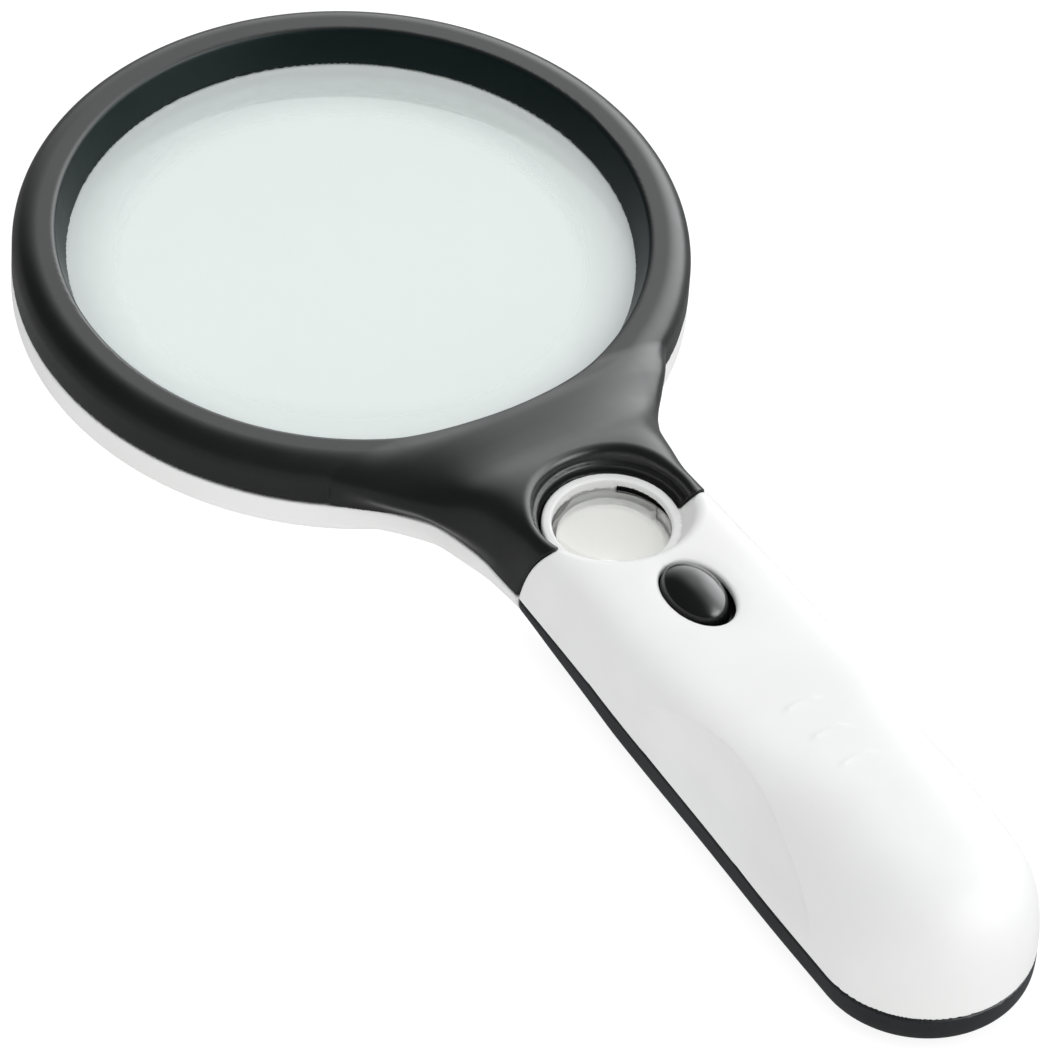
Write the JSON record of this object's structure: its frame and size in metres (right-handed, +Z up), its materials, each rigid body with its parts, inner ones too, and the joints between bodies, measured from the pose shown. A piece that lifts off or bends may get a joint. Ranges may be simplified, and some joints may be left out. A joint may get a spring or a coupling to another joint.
{
  "type": "low vision magnifier",
  "caption": "Hand magnifier with a large round lens in a black and white frame, a small strong lens at the handle, lamps, a slide switch and a battery handle.",
  "frame": {"origin": "middle of the underside of the bounding box, on the surface it rests on", "axes": "+X from the main lens toward the tail of the handle, +Z up through the viewing side of the lens"},
  "size_m": [0.1903, 0.0872, 0.022],
  "materials": {
    "black_shell": "satin black moulded plastic",
    "black_button": "semi-gloss black moulded plastic",
    "white_shell": "satin white moulded plastic",
    "lens_glass": "polished clear lens with a faint green cast",
    "steel": "zinc plated",
    "nickel_plate": "nickel plated spring steel",
    "brass": "tinned pins",
    "board": "green solder mask",
    "phenolic": "pressed brown sheet",
    "resistor_coat": "lacquered tan",
    "cell_sleeve": "shrink sleeve, no lettering",
    "lamp_resin": "clear epoxy with a yellow phosphor",
    "red_insulation": "PVC insulation",
    "black_insulation": "PVC insulation"
  },
  "bodies": {
    "magnifier": {"head_front_shell": "black_shell", "head_rear_shell": "white_shell", "main_lens": "lens_glass", "small_lens": "lens_glass", "handle_front_cover": "white_shell", "switch_can": "steel", "switch_base": "phenolic", "switch_terminal_1": "brass", "switch_terminal_2": "brass", "switch_terminal_3": "brass", "circuit_board": "board", "resistor": "resistor_coat", "battery_cradle": "black_shell", "cell_1": "cell_sleeve", "cell_2": "cell_sleeve", "contact_head_negative": "nickel_plate", "contact_head_positive": "nickel_plate", "contact_tail_bridge": "nickel_plate", "spring_head": "nickel_plate", "spring_tail": "nickel_plate", "neck_screw_left": "steel", "board_screw_left": "steel", "cradle_screw_left": "steel", "lamp_main_left": "lamp_resin", "lamp_wire_left_red": "red_insulation", "lamp_wire_left_black": "black_insulation", "neck_screw_right": "steel", "board_screw_right": "steel", "cradle_screw_right": "steel", "lamp_main_right": "lamp_resin", "lamp_wire_right_red": "red_insulation", "lamp_wire_right_black": "black_insulation", "lamp_small": "lamp_resin", "lamp_small_wire_red": "red_insulation", "lamp_small_wire_black": "black_insulation", "cell_wire_red": "red_insulation", "cell_wire_black": "black_insulation"},
    "switch": {"switch_button": "black_button", "switch_slider": "black_shell"},
    "battery_door": {"battery_cover": "black_shell"}
  },
  "joints": [
    {"name": "switch_slide", "type": "slide", "parent": "magnifier", "child": "switch", "axis": [1, 0, 0], "range_m": [0, 0.0012]},
    {"name": "battery_door_slide", "type": "slide", "parent": "magnifier", "child": "battery_door", "axis": [1, 0, 0], "range_m": [0, 0.09]}
  ]
}
